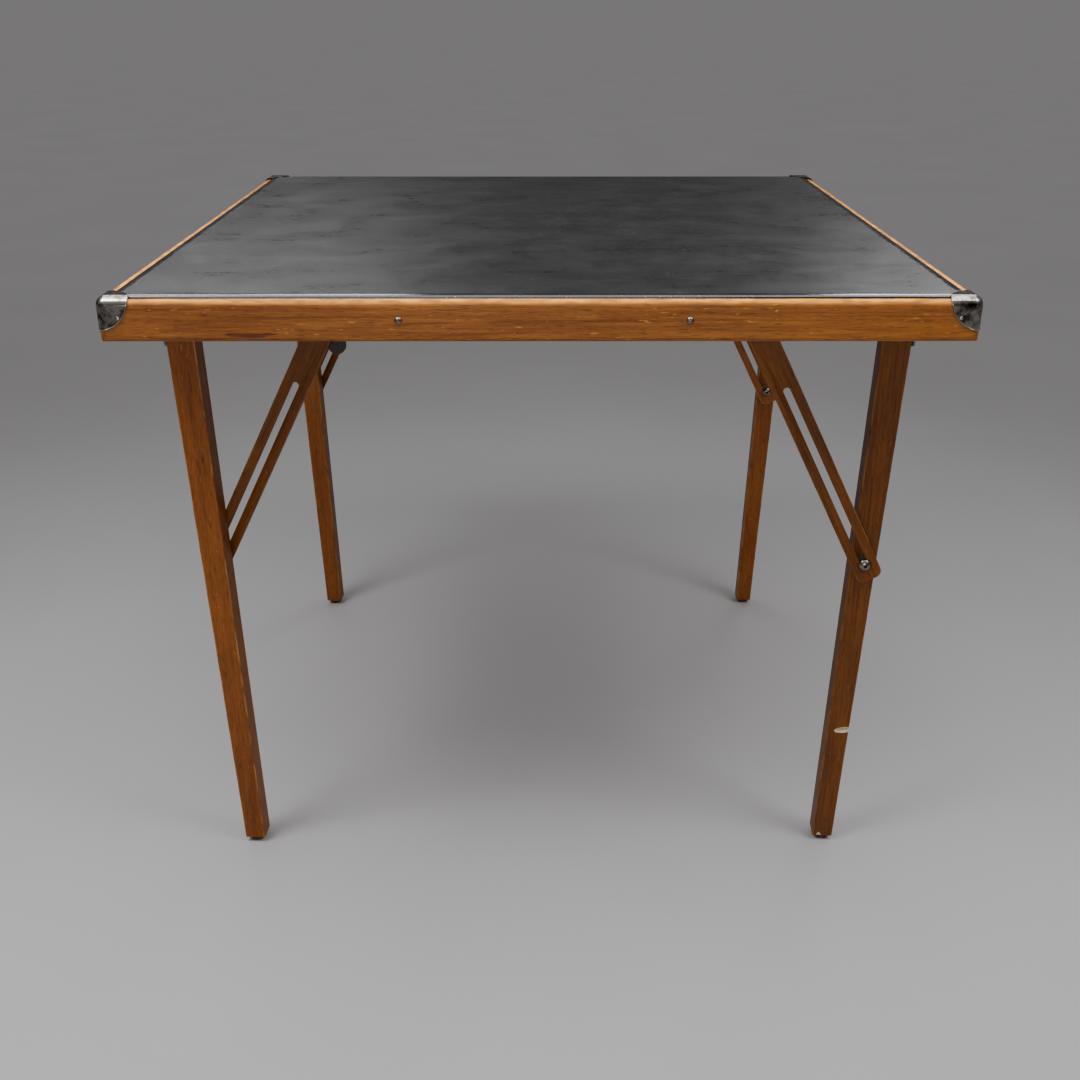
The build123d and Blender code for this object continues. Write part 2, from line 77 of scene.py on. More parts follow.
def per_metre(size):
    """Whole features in a metre of a pattern, from the size of one in millimetres."""
    return round(1 / (size * MM))


def add(tree, kind, inputs=None, **settings):
    """Adds a node with its settings. An input is known by its name, or by its place where names
    repeat, and is given a value, an output socket, or a node: its first output in use."""
    made = tree.nodes.new(kind)
    for name, value in settings.items():
        setattr(made, name, value)
    for key, value in (inputs or {}).items():
        socket = next(s for i, s in enumerate(made.inputs) if s.enabled and key in (i, s.name))
        if isinstance(value, bpy.types.Node):
            value = next(s for s in value.outputs if s.enabled)
        if isinstance(value, bpy.types.NodeSocket):
            tree.links.new(value, socket)
        else:
            socket.default_value = value
    return made


def drawn_out(tree, place, sizes, turn=(0, 0, 0), **inputs):
    """Noise whose features have these sizes in millimetres along x, y and z."""
    scaled = add(tree, "ShaderNodeMapping", {"Vector": place, "Rotation": turn,
                                             "Scale": [per_metre(size) for size in sizes]})
    return add(tree, "ShaderNodeTexNoise", {"Vector": scaled, "Scale": 1.0, **inputs})


def new_material(name, code):
    """Empty node material with a solid-view colour, with its tree and its object coordinates."""
    material = bpy.data.materials.new(name)
    material.diffuse_color = linear(code)
    material.use_nodes = True
    tree = material.node_tree
    tree.nodes.clear()
    return material, tree, add(tree, "ShaderNodeTexCoord").outputs["Object"]


def finish_material(tree, relief, height, looks):
    """Principled surface with its looks; the relief is raised by up to that many metres."""
    raised = add(tree, "ShaderNodeBump", {"Height": relief, "Strength": 1.0, "Distance": height})
    shader = add(tree, "ShaderNodeBsdfPrincipled", {"Normal": raised, **looks})
    add(tree, "ShaderNodeOutputMaterial", {"Surface": shader})


def varnished_oak(name, dark, light, worn, turn=(0, 0, 0), top_wear_and_painted_highlight=False):
    """Oak under old amber varnish. The eye gets long uneven streaks, fine dark pores, slow changes
    of tone, a silky gloss that dulls in patches, and edges where the varnish is rubbed off.

    The turn lays the grain along the piece. The rails are worn along their rim, and the pale band
    there is also a painted highlight on their rounded top; the other pieces are worn where
    worn_wood has marked their rounded edges.
    """
    material, tree, place = new_material(name, light)
    laid = add(tree, "ShaderNodeMapping", {"Vector": place, "Rotation": turn})

    # Along the grain and across it: streaks 90 by 3 mm, changes of tone 200 by 38 mm, rubbed
    # patches 22 by 6 mm, nicks 11 by 2 mm. Real pores are 0.3 mm wide, drawn 0.8 mm wide to show.
    streaks = drawn_out(tree, laid, (90, 3.03, 3.03), Detail=5.0, Roughness=0.75, Distortion=0.25)
    pores = drawn_out(tree, laid, (13.3, 0.8, 0.8), Detail=2.0)
    tone = drawn_out(tree, laid, (200, 38, 38), Detail=3.0)
    rubs = drawn_out(tree, laid, (22, 5.88, 5.88), Detail=6.0)
    nicks = drawn_out(tree, laid, (11.1, 2.083, 2.083), Detail=1.0)

    figure = add(tree, "ShaderNodeMath", {0: tone, 1: 0.45, 2: streaks}, operation="MULTIPLY_ADD")
    share = add(tree, "ShaderNodeMapRange", {"Value": figure, "From Min": 0.52, "From Max": 0.92})
    wood = add(tree, "ShaderNodeMix", {"Factor": share, "A": linear(dark), "B": linear(light)},
               data_type="RGBA")
    pitted = add(tree, "ShaderNodeMapRange",
                 {"Value": pores, "From Min": 0.54, "From Max": 0.7, "To Max": 0.7})
    pored = add(tree, "ShaderNodeMix", {"Factor": pitted, "A": wood, "B": linear(PORE_BROWN)},
                data_type="RGBA")

    # Bare wood: pale nicks scattered thinly over all the faces, and ragged wear along the edges. On
    # the rails the pale band along the top is partly wear and partly a painted highlight.
    nicked = add(tree, "ShaderNodeMapRange",
                 {"Value": nicks, "From Min": 0.72, "From Max": 0.77, "To Max": 0.4})
    if top_wear_and_painted_highlight:
        height = add(tree, "ShaderNodeSeparateXYZ", {"Vector": place}).outputs["Z"]
        edge = add(tree, "ShaderNodeMapRange", {"Value": height, "From Min": rail_high.z - 4.5 * MM,
                                                "From Max": rail_high.z - 0.5 * MM})
        # The rails' top is never less than 0.3 pale: painted highlight as well as wear
        least, most = 0.3, 1.0
    else:
        edge = add(tree, "ShaderNodeAttribute", attribute_name="edge_wear").outputs["Fac"]
        least, most = 0.0, 0.7
    ragged = add(tree, "ShaderNodeMapRange", {"Value": rubs, "From Min": 0.4, "From Max": 0.6,
                                              "To Min": least, "To Max": most})
    rubbed = add(tree, "ShaderNodeMath", {0: edge, 1: ragged}, operation="MULTIPLY")
    bare = add(tree, "ShaderNodeMath", {0: rubbed, 1: nicked}, operation="MAXIMUM")
    look = add(tree, "ShaderNodeMix", {"Factor": bare, "A": pored, "B": linear(worn)},
               data_type="RGBA")

    # Bare wood is rougher than varnish and hardly shines
    silky = add(tree, "ShaderNodeMapRange", {"Value": rubs, "To Min": 0.34, "To Max": 0.62})
    gloss = add(tree, "ShaderNodeMath", {0: bare, 1: 0.3, 2: silky}, operation="MULTIPLY_ADD")
    shine = add(tree, "ShaderNodeMapRange", {"Value": bare, "To Min": 0.25, "To Max": 0.05})
    relief = add(tree, "ShaderNodeMath", {0: pitted, 1: -1.0, 2: streaks}, operation="MULTIPLY_ADD")
    finish_material(tree, relief, 0.07 * MM,
                    {"Base Color": look, "Roughness": gloss, "Specular IOR Level": shine})
    return material


def bare_wood(name, dark, light, turn=(0, 0, 0)):
    """Wood or board that was never varnished: dull, with soft planed grain and a film of dust."""
    material, tree, place = new_material(name, light)
    laid = add(tree, "ShaderNodeMapping", {"Vector": place, "Rotation": turn})
    # Grain 110 mm long and 4 mm wide under clouds of dust 45 mm across
    grain = drawn_out(tree, laid, (110, 3.85, 3.85), Detail=5.0, Distortion=0.4)
    dust = add(tree, "ShaderNodeTexNoise", {"Vector": place, "Scale": per_metre(45), "Detail": 4.0})
    tone = add(tree, "ShaderNodeMath", {0: grain, 1: 1.6, 2: dust}, operation="MULTIPLY_ADD")
    share = add(tree, "ShaderNodeMapRange", {"Value": tone, "From Min": 1.0, "From Max": 1.6})
    wood = add(tree, "ShaderNodeMix", {"Factor": share, "A": linear(dark), "B": linear(light)},
               data_type="RGBA")
    finish_material(tree, grain, 0.1 * MM, {"Base Color": wood, "Roughness": 0.78})
    return material


def leathercloth_material():
    """Coated cotton embossed like leather. The eye gets a black half gloss, broken by fine
    pebbling, long rub marks from side to side, cloudy scuffs and specks of dust."""
    material, tree, place = new_material("black_leathercloth", "#1B1B1D")
    fresh, faded, dust = linear("#050506"), linear("#1F1F21"), linear("#98958F")

    # Pebbles and creases are really about half as large; they are drawn 1.5 and 0.9 mm wide to show
    pebbles = add(tree, "ShaderNodeTexVoronoi", {"Vector": place, "Scale": per_metre(1.538)},
                  feature="F1")
    creases = add(tree, "ShaderNodeTexNoise",
                  {"Vector": place, "Scale": per_metre(0.909), "Detail": 3.0})
    emboss = add(tree, "ShaderNodeMath", {0: creases, 1: 0.5, 2: pebbles}, operation="MULTIPLY_ADD")

    # Rub marks 77 mm long and 4 mm wide, clouds 70 mm across, pale scuffs 9 mm long and 1.5 mm
    # wide. Specks of dust are the peaks of a pattern 2 mm across.
    rubs = drawn_out(tree, place, (77, 4.35, 1000), Detail=6.0, Roughness=0.65)
    clouds = add(tree, "ShaderNodeTexNoise",
                 {"Vector": place, "Scale": per_metre(70), "Detail": 8.0, "Roughness": 0.66})
    scuffs = drawn_out(tree, place, (9.1, 1.538, 1000), turn=(0, 0, 0.3), Detail=5.0, Roughness=0.7)
    specks = add(tree, "ShaderNodeTexNoise",
                 {"Vector": place, "Scale": per_metre(2.083), "Detail": 0.0})
    haze = add(tree, "ShaderNodeMath", {0: rubs, 1: 0.5, 2: clouds}, operation="MULTIPLY_ADD")
    worn = add(tree, "ShaderNodeMath", {0: scuffs, 1: 0.9, 2: haze}, operation="MULTIPLY_ADD")
    share = add(tree, "ShaderNodeMapRange", {"Value": worn, "From Min": 1.0, "From Max": 1.4})
    black = add(tree, "ShaderNodeMix", {"Factor": share, "A": fresh, "B": faded}, data_type="RGBA")
    specked = add(tree, "ShaderNodeMapRange",
                  {"Value": specks, "From Min": 0.77, "From Max": 0.81, "To Max": 0.6})
    dusty = add(tree, "ShaderNodeMix", {"Factor": specked, "A": black, "B": dust}, data_type="RGBA")

    # Arms have polished the cloth along the edges of the panel
    apart = add(tree, "ShaderNodeSeparateXYZ", {"Vector": place}).outputs
    sideways = add(tree, "ShaderNodeMath", {0: apart["X"]}, operation="ABSOLUTE")
    lengthways = add(tree, "ShaderNodeMath", {0: apart["Y"]}, operation="ABSOLUTE")
    outermost = add(tree, "ShaderNodeMath", {0: sideways, 1: lengthways}, operation="MAXIMUM")
    polish = add(tree, "ShaderNodeMapRange",
                 {"Value": outermost, "From Min": cover_high.x - 11 * MM,
                  "From Max": cover_high.x - 7 * MM})
    gloss = add(tree, "ShaderNodeMapRange", {"Value": haze, "From Min": 0.5, "From Max": 1.05,
                                             "To Min": 0.25, "To Max": 0.37})
    smooth = add(tree, "ShaderNodeMath", {0: polish, 1: -0.19, 2: gloss}, operation="MULTIPLY_ADD")
    shine = add(tree, "ShaderNodeMath", {0: polish, 1: 0.5, 2: 0.5}, operation="MULTIPLY_ADD")
    relief = add(tree, "ShaderNodeMath", {0: rubs, 1: 1.2, 2: emboss}, operation="MULTIPLY_ADD")
    finish_material(tree, relief, 0.035 * MM,
                    {"Base Color": dusty, "Roughness": smooth, "Specular IOR Level": shine})
    return material


def metal(name, clean, stained, rough, stain=0.6, blotch=6.67):
    """Plated or bare steel. The eye gets a grey shine, scratches from handling, and dull brown
    stains: blotches of so many millimetres, and fewer of them the higher the stain."""
    material, tree, place = new_material(name, clean)
    blotches = add(tree, "ShaderNodeTexNoise",
                   {"Vector": place, "Scale": per_metre(blotch), "Detail": 6.0, "Roughness": 0.7})
    # Scratches 12 mm long, all one way. Real ones are finer; they are drawn 0.4 mm wide to show.
    scratches = drawn_out(tree, place, (12.5, 0.4167, 0.4167), turn=(0.3, 0.5, 0.8), Detail=2.0)
    patch = add(tree, "ShaderNodeMapRange",
                {"Value": blotches, "From Min": stain, "From Max": stain + 0.2})
    look = add(tree, "ShaderNodeMix", {"Factor": patch, "A": linear(clean), "B": linear(stained)},
               data_type="RGBA")
    dull = add(tree, "ShaderNodeMapRange", {"Value": blotches, "From Min": 0.35, "From Max": 0.75,
                                            "To Min": rough, "To Max": rough * 2.2})
    gloss = add(tree, "ShaderNodeMath", {0: scratches, 1: 0.06, 2: dull}, operation="MULTIPLY_ADD")
    finish_material(tree, scratches, 0.004 * MM,
                    {"Base Color": look, "Metallic": 1.0, "Roughness": gloss})
    return material


def mottled(name, dark, light, size, rough):
    """Dull coated or pressed stuff. The eye gets a mottle of so many millimetres, and the marks of
    use in its gloss."""
    material, tree, place = new_material(name, light)
    mottle = add(tree, "ShaderNodeTexNoise",
                 {"Vector": place, "Scale": per_metre(size), "Detail": 5.0})
    share = add(tree, "ShaderNodeMapRange", {"Value": mottle, "From Min": 0.35, "From Max": 0.7})
    look = add(tree, "ShaderNodeMix", {"Factor": share, "A": linear(dark), "B": linear(light)},
               data_type="RGBA")
    gloss = add(tree, "ShaderNodeMapRange",
                {"Value": mottle, "To Min": rough - 0.12, "To Max": rough + 0.12})
    finish_material(tree, mottle, 0.05 * MM, {"Base Color": look, "Roughness": gloss})
    return material


# The braces stand 63 degrees from the floor. Each oak has a dark, a light and a worn colour.
BRACE_SLOPE = math.radians(63)
PORE_BROWN = "#3A1A0B"
# The rails' worn colour is bright orange: bare oak in nicks, and along the top partly a painted
# highlight
RAIL_OAK = ("#713B10", "#AB6928", "#FFAC4A")
LEG_OAK = ("#6C360A", "#9A581B", "#C8935A")
DARK_OAK = ("#502805", "#80480F", "#A06A34")
rail_oak_x = varnished_oak("oak_rails_front_back", *RAIL_OAK, top_wear_and_painted_highlight=True)
rail_oak_y = varnished_oak("oak_rails_sides", *RAIL_OAK, turn=(0, 0, QUARTER), top_wear_and_painted_highlight=True)
leg_oak = varnished_oak("oak_legs", *LEG_OAK, turn=(0, QUARTER, 0))
brace_left_oak = varnished_oak("oak_braces_left", *DARK_OAK, turn=(0, BRACE_SLOPE, 0))
brace_right_oak = varnished_oak("oak_braces_right", *LEG_OAK, turn=(0, -BRACE_SLOPE, 0))
# The near right leg and its brace are of darker wood, like the left braces; their darker tone is
# partly painted shade, for the weaker light on the right side
leg_dark_oak_and_painted_shade = varnished_oak("dark_oak_leg_and_painted_shade", *DARK_OAK, turn=(0, QUARTER, 0))
brace_dark_oak_and_painted_shade = varnished_oak("dark_oak_brace_and_painted_shade", *DARK_OAK, turn=(0, -BRACE_SLOPE, 0))
oaks = {"front_left": (leg_oak, brace_left_oak), "front_right": (leg_dark_oak_and_painted_shade, brace_dark_oak_and_painted_shade),
        "back_left": (leg_oak, brace_left_oak), "back_right": (leg_oak, brace_right_oak)}
leathercloth = leathercloth_material()
hardboard = bare_wood("hardboard", "#4A3220", "#674730")
pine_y = bare_wood("pine_battens", "#86603A", "#B58C5D", turn=(0, 0, QUARTER))
pine_z = bare_wood("pine_blocks", "#7C5730", "#AA8052", turn=(0, QUARTER, 0))
raw_oak = bare_wood("raw_oak", "#C2A37F", "#F4E9D4", turn=(0, QUARTER, 0))
scraped_oak = bare_wood("scraped_oak", "#2C1005", "#863F10")
nickel = metal("nickel_plate", "#BDB8B0", "#5C4B3D", rough=0.13, stain=0.62)
# The caps' nickel has large dark blotches: partly real tarnish, partly painted dark reflections on
# the mirror-like plate
cap_nickel_tarnish_and_painted_reflection = metal("tarnish_and_painted_reflection_nickel", "#B9B3AA", "#2C241D", rough=0.07, stain=0.43, blotch=13.3)
dull_nickel = metal("dulled_nickel", "#8C8277", "#2E241C", rough=0.17, stain=0.5)
zinc = metal("zinc_plate", "#8E8A83", "#4B3B2E", rough=0.26, stain=0.56)
pressed_steel = metal("pressed_steel", "#77767A", "#4A3D33", rough=0.34, stain=0.58)
# Near black: painted shade in the slot screws' sockets and along the outer side of the cap beads
painted_shade = mottled("painted_shade_black", "#0C0806", "#22160E", size=3.33, rough=0.6)
fibre = mottled("brown_fibre", "#2E0F09", "#5E2718", size=2.38, rough=0.55)
browned_steel = mottled("browned_steel", "#140904", "#2F1B0F", size=4.17, rough=0.6)


# ---------------------------------------------------------------- making pieces
def dress(material, *nodes):
    """Gives CAD pieces that keep their shape their material."""
    for node in nodes:
        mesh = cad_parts[node].data
        mesh.materials.clear()
        mesh.materials.append(material)


def link(name, data):
    """Object at the origin that shows a mesh, or that is a lamp or the camera."""
    made = bpy.data.objects.new(name, data)
    bpy.context.scene.collection.objects.link(made)
    return made


def settled(holder):
    """Mesh of an object with its modifiers applied."""
    seen = bpy.context.evaluated_depsgraph_get()
    return bpy.data.meshes.new_from_object(holder.evaluated_get(seen))


def mesh_of(name, shape, *materials):
    """Mesh of a finished bmesh, with its materials."""
    mesh = bpy.data.meshes.new(name)
    shape.to_mesh(mesh)
    shape.free()
    for material in materials:
        mesh.materials.append(material)
    return mesh


def joined_shape(node):
    """Copy of a CAD piece's mesh as a bmesh, with its loose triangles joined."""
    shape = bmesh.new()
    shape.from_mesh(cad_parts[node].data)
    bmesh.ops.remove_doubles(shape, verts=shape.verts, dist=0.001 * MM)
    bmesh.ops.recalc_face_normals(shape, faces=shape.faces)
    return shape


def finish_piece(piece, body, slot, *nodes):
    """Puts a finished piece on its body, in place of its CAD nodes."""
    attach(piece, body)
    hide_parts(*nodes)


def cut_away(piece, cutter, own_skin=False):
    """Takes a cutter out of a piece; the cut faces keep the cutter's material. With own_skin, the
    cutter may be made of parts that pass through each other."""
    cut = piece.modifiers.new("cut", "BOOLEAN")
    cut.object = cutter
    cut.operation = "DIFFERENCE"
    cut.solver = "EXACT"
    cut.use_self = own_skin
    cut.material_mode = "TRANSFER"
    piece.data = settled(piece)
    piece.modifiers.clear()
    bpy.data.objects.remove(cutter)


def chip(wood, centre, size, turn, material):
    """Cuts a smooth hollow from a wooden piece: the part of an ellipsoid that lies in the wood."""
    shape = bmesh.new()
    bmesh.ops.create_icosphere(shape, subdivisions=4, radius=1)
    tilt = Matrix.Rotation(turn, 3, "Y").to_quaternion()
    lie = Matrix.LocRotScale(Vector(centre), tilt, Vector(size))
    bmesh.ops.transform(shape, verts=shape.verts, matrix=lie)
    cut_away(wood, link("hollow", mesh_of("hollow", shape, material)))


def worn_wood(node, name, material, body, slot, hollows=()):
    """Copy of a wooden CAD piece with a mark on its rounded edges and hollows where it is chipped.

    The mark is held on face corners, so that it ends where the rounding ends.
    """
    mesh = mesh_of(name, joined_shape(node), material)
    mark = mesh.attributes.new("edge_wear", "FLOAT", "CORNER")
    for face in mesh.polygons:
        # The lean is 1 on a broad face and 0 on a narrow one; the roundings lie between
        lean = abs(face.normal.dot(ACROSS))
        rounded = 0.12 < lean < 0.985
        for corner in face.loop_indices:
            mark.data[corner].value = float(rounded)
    wood = link(name, mesh)
    for hollow in hollows:
        chip(wood, *hollow)
    wood.data.shade_smooth()
    wood.data.set_sharp_from_angle(angle=math.radians(35))
    even = wood.modifiers.new("even shading", "WEIGHTED_NORMAL")
    even.keep_sharp = True
    even.weight = 100
    finish_piece(wood, body, slot, node)


def darken_socket(node, reach):
    """Painted shade in a slot screw's socket: the near black material on the faces within reach of
    its axis.
    """
    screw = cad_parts[node]
    screw.data.materials.append(painted_shade)
    middle = middle_of(node)
    for face in screw.data.polygons:
        spots = [screw.matrix_world @ screw.data.vertices[v].co - middle for v in face.vertices]
        if all((spot - ACROSS * spot.dot(ACROSS)).length < reach for spot in spots):
            face.material_index = 1


# ---------------------------------------------------------------- leathercloth
def leathercloth_sheet():
    """Sheet stretched over the board and turned down its edges, built from its flat cut: each point
    is carried by its distance from the cut edge, up the side, round the edge and in over the
    board."""
    half, roll, corner, turn_in = cover_high.x, 3 * MM, 6 * MM, 6 * MM
    cloth, pinch, pinch_curve = 0.5 * MM, 0.5 * MM, 1.5
    wave, waves_in_a_metre, wave_seed = 0.1 * MM, 7, 0.3
    edge_lines, near_lines, board_lines = 14, 8, 40
    drop = table_top - cover_low.z - roll
    skirt = drop + roll * QUARTER
    flat_half = half - roll + skirt
    flat_corner = corner - roll + skirt
    inner = flat_half - flat_corner

    def profile(inward):
        """Distance in from the side, and height, at a distance along the sheet from its edge."""
        if inward < drop:
            return 0.0, cover_low.z + inward
        if inward < skirt:
            angle = (inward - drop) / roll
            return roll - roll * math.cos(angle), table_top - roll + roll * math.sin(angle)
        return roll + inward - skirt, table_top

    # Lines of the flat cut from its edge to its middle, closest where the cloth goes round the edge
    steps = [flat_half - flat_corner * k / edge_lines for k in range(edge_lines)]
    steps += [inner - turn_in * k / near_lines for k in range(near_lines)]
    steps += [(inner - turn_in) * (1 - k / board_lines) for k in range(board_lines)]
    lines = [-step for step in steps] + [0.0] + steps[::-1]
    shape = bmesh.new()
    grid = []
    for y in lines:
        row = []
        for x in lines:
            over_x = max(abs(x) - inner, 0) / flat_corner
            over_y = max(abs(y) - inner, 0) / flat_corner
            # The square corner of the flat sheet is gathered on to the round corner of the panel
            round_x = over_x * math.sqrt(1 - over_y * over_y / 2)
            round_y = over_y * math.sqrt(1 - over_x * over_x / 2)
            reach = math.hypot(round_x, round_y)
            offset, z = profile((1 - reach) * flat_corner)
            out = (corner - offset) / reach if reach > 0 else 0.0
            px = math.copysign(min(abs(x), inner) + out * round_x, x)
            py = math.copysign(min(abs(y), inner) + out * round_y, y)
            # Pulled down towards the edge, with waves of 0.2 mm over 140 mm as on a real board
            inside = min(1.0, max(0.0, half - roll - max(abs(px), abs(py))) / turn_in)
            z -= pinch * (1 - inside) ** pinch_curve * max(0.0, z - table_top + roll) / roll
            swell = noise.noise(Vector((px * waves_in_a_metre, py * waves_in_a_metre, wave_seed)))
            z -= wave * inside * (1 + swell)
            row.append(shape.verts.new((px, py, z)))
        grid.append(row)
    for a, b in zip(grid, grid[1:]):
        for i in range(len(a) - 1):
            shape.faces.new((a[i], a[i + 1], b[i + 1], b[i]))
    bmesh.ops.recalc_face_normals(shape, faces=shape.faces)
    mesh = mesh_of("leathercloth", shape, leathercloth)
    mesh.shade_smooth()
    sheet = link("leathercloth", mesh)
    thick = sheet.modifiers.new("thickness", "SOLIDIFY")
    thick.thickness = cloth
    thick.offset = -1
    finish_piece(sheet, "tabletop", "leathercloth", "top_cover")


leathercloth_sheet()

# ---------------------------------------------------------------- wood and plain hardware
# Hollows: middle and half sizes in metres, turn, and the wood that they lay bare. The near right
# leg has a pale chip at shin height and a small one at its foot; the front rail has a dark scrape.
leg_chips = {
    "front_right": [
        ((0.3665, -0.3452, 0.1636), (0.0145, 0.0035, 0.0048), math.radians(-8), raw_oak),
        ((0.3515, -0.3440, 0.0075), (0.0030, 0.0030, 0.0050), 0.0, raw_oak),
    ],
}
scrapes = [
    ((-0.2850, -0.4323, 0.6733), (0.0200, 0.0012, 0.0028), 0.0, scraped_oak),
    ((-0.2960, -0.4322, 0.6741), (0.0125, 0.0010, 0.0019), math.radians(2), scraped_oak),
    ((-0.2680, -0.4322, 0.6742), (0.0110, 0.0009, 0.0018), math.radians(-3), scraped_oak),
]
SOCKET_REACH = 2.2 * MM
for leg in CORNERS:
    leg_wood, brace_wood = oaks[leg]
    worn_wood(f"leg_{leg}", f"oak_leg_{leg}", leg_wood, f"{leg}_leg", "leg_wood",
              leg_chips.get(leg, ()))
    worn_wood(f"brace_{leg}", f"oak_brace_{leg}", brace_wood, f"{leg}_brace", "brace_wood")
    dress(pine_z, f"hinge_block_{leg}")
    dress(fibre, f"glide_{leg}")
    dress(pressed_steel, f"leg_bracket_{leg}")
    dress(browned_steel, f"brace_hanger_{leg}")
    dress(zinc, f"slot_washer_{leg}")
    dress(dull_nickel, f"slot_screw_{leg}")
    darken_socket(f"slot_screw_{leg}", SOCKET_REACH)
dress(rail_oak_x, "rail_back")
dress(rail_oak_y, "rail_left", "rail_right")
worn_wood("rail_front", "oak_rail_front", rail_oak_x, "tabletop", "rail_wood", scrapes)
dress(hardboard, "top_board")
dress(pine_y, "batten_left", "batten_right")
dress(pine_z, "corner_blocks")
dress(cap_nickel_tarnish_and_painted_reflection, *[f"corner_cap_{corner}" for corner in CORNERS])
dress(zinc, "leg_pivot_bolts", "brace_pivot_bolts")


# ---------------------------------------------------------------- raised edge of the corner caps
def edge_loops(edges):
    """Closed loops of points, in order, along a set of edges."""
    following = {}
    for e in edges:
        for v in e.verts:
            following.setdefault(v, []).append(e.other_vert(v))
    loops = []
    while following:
        start = next(iter(following))
        loop, current, ahead = [start], start, following[start][0]
        while ahead is not start:
            loop.append(ahead)
            current, ahead = ahead, next(v for v in following[ahead] if v is not current)
        for v in loop:
            del following[v]
        loops.append([v.co.copy() for v in loop])
    return loops


def cap_bead(corner):
    """Rolled edge of a cap: a 1.2 mm thick bead swept round the outer edge of its sheet, with
    painted shade along its outer side."""
    round_out, skin, bead = 9 * MM, 0.8 * MM, 0.6 * MM
    crease, step = 0.9, 0.8 * MM            # least fold along the sheet's edge, and a bead's link
    sides, shaded_sides = 12, 4
    core = Vector((half_table - round_out, half_table - round_out, table_top - round_out))

    def outward(point):
        """Way out from the rounded block under the cap, as long as the distance to its core."""
        folded = Vector((abs(point.x), abs(point.y), point.z))
        nearest = Vector((min(folded.x, core.x), min(folded.y, core.y), min(folded.z, core.z)))
        away = folded - nearest
        return Vector((math.copysign(away.x, point.x), math.copysign(away.y, point.y), away.z))

    cap = joined_shape(f"corner_cap_{corner}")
    rim = [e for e in cap.edges if e.calc_face_angle(0) > crease
           and all(outward(v.co).length > round_out + skin / 2 for v in e.verts)]
    outer = max(edge_loops(rim), key=len)
    cap.free()
    even = []
    for a, b in zip(outer, outer[1:] + outer[:1]):
        count = max(1, round((b - a).length / step))
        even += [a.lerp(b, k / count) for k in range(count)]
    # All beads run the same way round, so that the painted shade lies on the same side of each
    middle = sum(even, Vector()) / len(even)
    if sum((b - a).cross(outward(a)).dot(a - middle) for a, b in zip(even, even[1:])) < 0:
        even.reverse()
    # Sunk into the sheet by half its radius at the sides and by nearly all of it on the flat top
    sunk, sunk_on_top = 0.45, 0.5
    ups = [outward(p).normalized() for p in even]
    centres = [p - up * bead * (sunk + sunk_on_top * up.z) for p, up in zip(even, ups)]
    shape = bmesh.new()
    rings = []
    for i, (p, up) in enumerate(zip(centres, ups)):
        run = (centres[(i + 1) % len(centres)] - centres[i - 1]).normalized()
        side = run.cross(up).normalized()
        up = side.cross(run)
        rings.append([shape.verts.new(p + bead * (math.cos(t) * side + math.sin(t) * up))
                      for t in (math.tau * k / sides for k in range(sides))])
    for a, b in zip(rings, rings[1:] + rings[:1]):
        for k in range(sides):
            after = (k + 1) % sides
            strip = shape.faces.new((a[k], a[after], b[after], b[k]))
            # Four of the twelve sides, on the bead's outer side, take the near black material:
            # painted shade along the cap's edge
            strip.material_index = int((k + shaded_sides // 2) % sides < shaded_sides)
    bmesh.ops.recalc_face_normals(shape, faces=shape.faces)
    made = mesh_of(f"cap_bead_{corner}", shape, nickel, painted_shade)
    made.shade_smooth()
    finish_piece(link(f"cap_bead_{corner}", made), "tabletop", "nickel")


for corner in CORNERS:
    cap_bead(corner)


# ---------------------------------------------------------------- screws and nails
def islands(shape):
    """Separate parts of a bmesh, each as a list of its vertices, in an order that never changes."""
    left = dict.fromkeys(shape.verts)
    while left:
        island = [next(iter(left))]
        del left[island[0]]
        for vertex in island:               # the list grows while it is walked
            for neighbour in (edge.other_vert(vertex) for edge in vertex.link_edges):
                if neighbour in left:
                    del left[neighbour]
                    island.append(neighbour)
        yield island


def fasteners(node):
    """Seat and aim of each screw of a CAD node, and their head radius, head height, shank radius
    and length. A screw is one island of the mesh; its axis is the longest spread of its points,
    and its seat is where it is widest."""
    close = 0.01 * MM
    shape = joined_shape(node)
    marks, sizes = [], ()
    for island in islands(shape):
        points = np.array([v.co for v in island])
        axes = np.linalg.svd(points - points.mean(0))[2]
        placed = points @ axes.T
        middle = (placed.max(0) + placed.min(0)) / 2
        away = np.hypot(*(placed - middle)[:, 1:].T)
        along = placed[:, 0]
        seat = along[away > away.max() - close].mean()
        way = 1 if along.max() - seat < seat - along.min() else -1
        head, tip = (along.max(), along.min()) if way > 0 else (along.min(), along.max())
        middle[0] = seat
        marks.append((Vector(axes.T @ middle), Vector(axes[0] * way)))
        shank = away[abs(along - tip) < close].max()
        sizes = (float(away.max()), float(abs(head - seat)), float(shank), float(abs(seat - tip)))
    shape.free()
    return marks, sizes


def turned_on_z(outline, steps):
    """Bmesh of an outline of radii and heights, turned on the Z axis. Its ends lie on the axis."""
    ways = [(math.cos(math.tau * k / steps), math.sin(math.tau * k / steps)) for k in range(steps)]
    shape = bmesh.new()
    bottom, top = (shape.verts.new((0, 0, z)) for _, z in (outline[0], outline[-1]))
    rings = [[shape.verts.new((radius * x, radius * y, z)) for x, y in ways]
             for radius, z in outline[1:-1]]
    for k in range(steps):
        shape.faces.new((bottom, rings[0][k], rings[0][k - 1]))
        for low, high in zip(rings, rings[1:]):
            shape.faces.new((low[k - 1], low[k], high[k], high[k - 1]))
        shape.faces.new((rings[-1][k - 1], rings[-1][k], top))
    return shape


